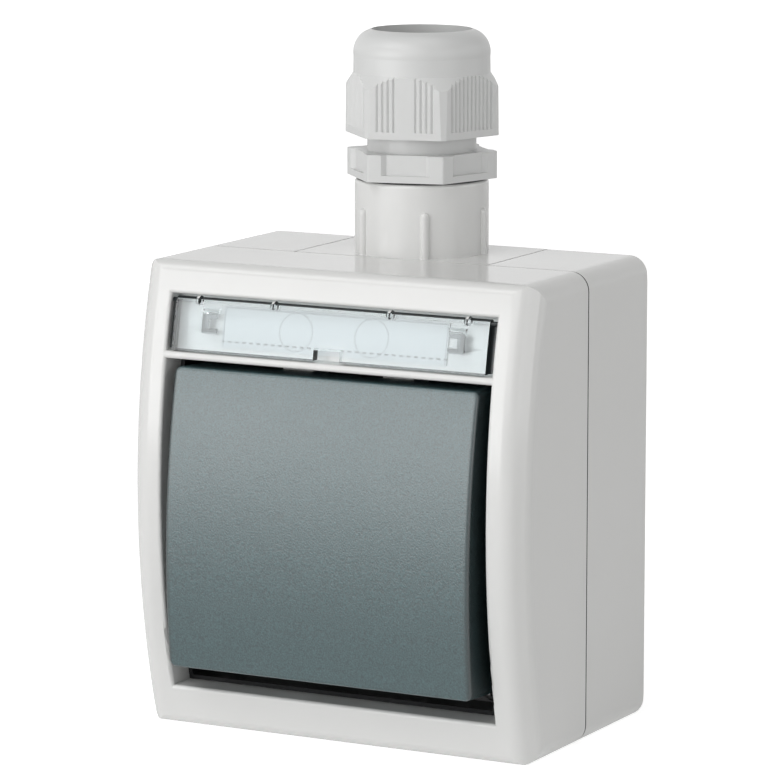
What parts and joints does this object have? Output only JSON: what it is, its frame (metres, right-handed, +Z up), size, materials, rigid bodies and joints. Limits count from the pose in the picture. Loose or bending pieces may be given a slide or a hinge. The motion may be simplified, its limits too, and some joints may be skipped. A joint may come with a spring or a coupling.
{
  "type": "outdoor weatherproof switch",
  "caption": "White surface-mounted weatherproof rocker switch with a dark grey rocker, a clear label window above it and a plastic cable gland on top.",
  "frame": {"origin": "middle of the back face, on the wall", "axes": "+X right as seen from the front, +Y into the wall, +Z up"},
  "size_m": [0.0784, 0.0541, 0.1239],
  "materials": {
    "white_shell": "semi-gloss moulded white plastic",
    "dark_rocker": "fine-grained satin dark grey plastic",
    "clear_window": "clear glossy plastic",
    "card": "plain white card",
    "black_rubber": "soft black sealing rubber",
    "black_plastic": "matt black moulded plastic",
    "steel": "zinc-plated steel",
    "spring_steel": "bare spring steel",
    "brass": "plain brass",
    "contact_metal": "silver-coloured contact metal",
    "cream_plastic": "cream moulded thermoset plastic",
    "nylon": "satin light grey nylon"
  },
  "bodies": {
    "housing": {"back_box": "white_shell", "front_cover": "white_shell", "entry_insert": "white_shell", "cover_gasket": "black_rubber", "wall_screw_seals": "black_rubber", "cover_screws": "steel", "cover_screw_seals": "black_rubber", "label_card": "card", "rocker_membrane": "black_rubber", "membrane_frame": "black_plastic", "mechanism_base": "cream_plastic", "mechanism_screws": "steel", "fixed_contacts": "brass", "fixed_contact_tips": "contact_metal", "common_contact": "brass", "terminal_blocks": "brass", "terminal_screws": "steel", "gland_washer": "black_rubber", "gland_body": "nylon", "gland_seal": "black_rubber"},
    "rocker": {"rocker": "dark_rocker", "rocker_carrier": "cream_plastic", "plunger": "cream_plastic", "plunger_spring": "spring_steel"},
    "contact": {"contact_bridge": "brass", "bridge_contact_tips": "contact_metal"},
    "window": {"label_window": "clear_window"},
    "gland_thrust": {"gland_thrust_ring": "nylon"},
    "gland_nut": {"gland_cap_nut": "nylon"}
  },
  "joints": [
    {"name": "rocker_tilt", "type": "hinge", "parent": "housing", "child": "rocker", "pos_m": [0, -0.022, -0.0045], "axis": [1, 0, 0], "range_deg": [0, 6]},
    {"name": "contact_tilt", "type": "hinge", "parent": "housing", "child": "contact", "pos_m": [0, -0.01083, -0.0045], "axis": [1, 0, 0], "range_deg": [-13, 0]},
    {"name": "window_lift", "type": "hinge", "parent": "housing", "child": "window", "pos_m": [0, -0.04494, 0.03517], "axis": [1, 0, 0], "range_deg": [-90, 0]},
    {"name": "gland_thrust_slide", "type": "slide", "parent": "housing", "child": "gland_thrust", "axis": [0, 0, 1], "range_m": [-0.00199, 0], "deforming": ["gland_seal"]},
    {"name": "gland_nut_turn", "type": "hinge", "parent": "gland_thrust", "child": "gland_nut", "pos_m": [0, -0.0122, 0.0725], "axis": [0, 0, 1], "range_deg": [-478, 0]}
  ],
  "couplings": [
    {"joint": "contact_tilt", "follows": "rocker_tilt", "ratio": -2.1666},
    {"joint": "gland_nut_turn", "follows": "gland_thrust_slide", "rad_per_m": 4188.8}
  ]
}
